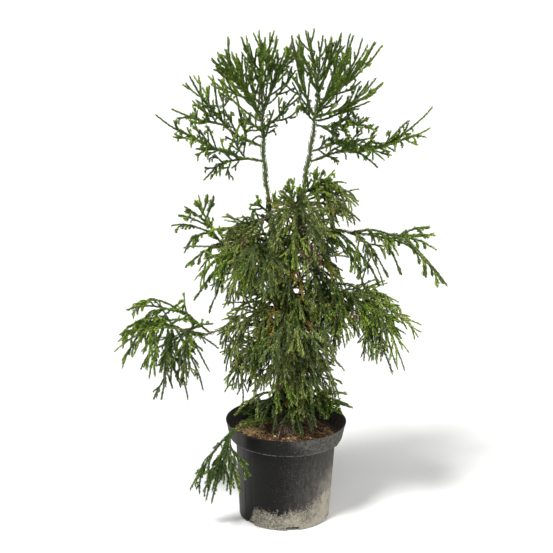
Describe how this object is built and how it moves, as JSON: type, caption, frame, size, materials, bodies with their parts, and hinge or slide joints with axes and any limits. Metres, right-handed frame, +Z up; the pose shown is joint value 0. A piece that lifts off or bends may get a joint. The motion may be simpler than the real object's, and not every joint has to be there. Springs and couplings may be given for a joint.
{
  "type": "potted cryptomeria",
  "caption": "Young weeping cryptomeria with two leaders, brush-like tops and hanging cord-like foliage, in a black plastic nursery pot.",
  "frame": {"origin": "middle of the pot's flat underside, on the ground", "axes": "+Z up along the pot's axis and the trunk; +X to the plant's right, towards the long arching boughs of the right leader; -Y towards its front, where a twig hangs over the rim"},
  "size_m": [0.64, 0.309, 0.97],
  "materials": {
    "pot_plastic": "moulded black nursery plastic, scuffed grey, with a pale lime and soil deposit low on the wall",
    "potting_soil": "dry bark mulch and soil with straw-coloured fallen needles",
    "bark": "fibrous grey-brown bark, greener and rust-patched on the leaders",
    "foliage": "cords of short scale-like needles, fresh green at the tips and darker inside"
  },
  "bodies": {
    "root": {"pot": "pot_plastic", "soil": "potting_soil", "trunk": "bark", "leader_left": "bark", "leader_right": "bark", "bough_left_middle_arm": "bark", "bough_left_low_arm": "bark", "bough_right_long_arm": "bark", "bough_right_middle": "bark", "bough_left_rising": "bark", "bough_right_low": "bark", "bough_left_low": "bark", "bough_rim": "bark", "brush_left_tip": "foliage", "brush_left_west": "foliage", "brush_left_front": "foliage", "brush_left_back": "foliage", "brush_left_inner": "foliage", "left_fork_outer": "foliage", "left_fork_upper": "foliage", "left_arm_end": "foliage", "brush_right_tip": "foliage", "brush_right_east": "foliage", "brush_right_outer": "foliage", "brush_right_front": "foliage", "brush_right_back": "foliage", "brush_right_west": "foliage", "right_arm_end": "foliage", "right_arm_rise": "foliage", "right_arm_low": "foliage", "right_whorl": "foliage", "centre_sprig": "foliage", "right_shoulder": "foliage", "left_shoulder": "foliage", "front_shoulder": "foliage", "right_long_end": "foliage", "right_long_drop": "foliage", "right_long_inner": "foliage", "left_rise_end": "foliage", "left_rise_low": "foliage", "left_weep_upper": "foliage", "left_weep_lower": "foliage", "front_weep_upper": "foliage", "front_weep_lower": "foliage", "back_weep_upper": "foliage", "back_weep_middle": "foliage", "back_weep_lower": "foliage", "right_weep": "foliage", "left_low_arc": "foliage", "left_low_end": "foliage", "left_low_drop": "foliage", "left_low_hang": "foliage", "right_low_end": "foliage", "right_low_drop": "foliage", "skirt_front_left": "foliage", "skirt_front_right": "foliage", "skirt_back_left": "foliage", "skirt_back_right": "foliage", "rim_right": "foliage", "rim_hang": "foliage"}
  },
  "joints": []
}
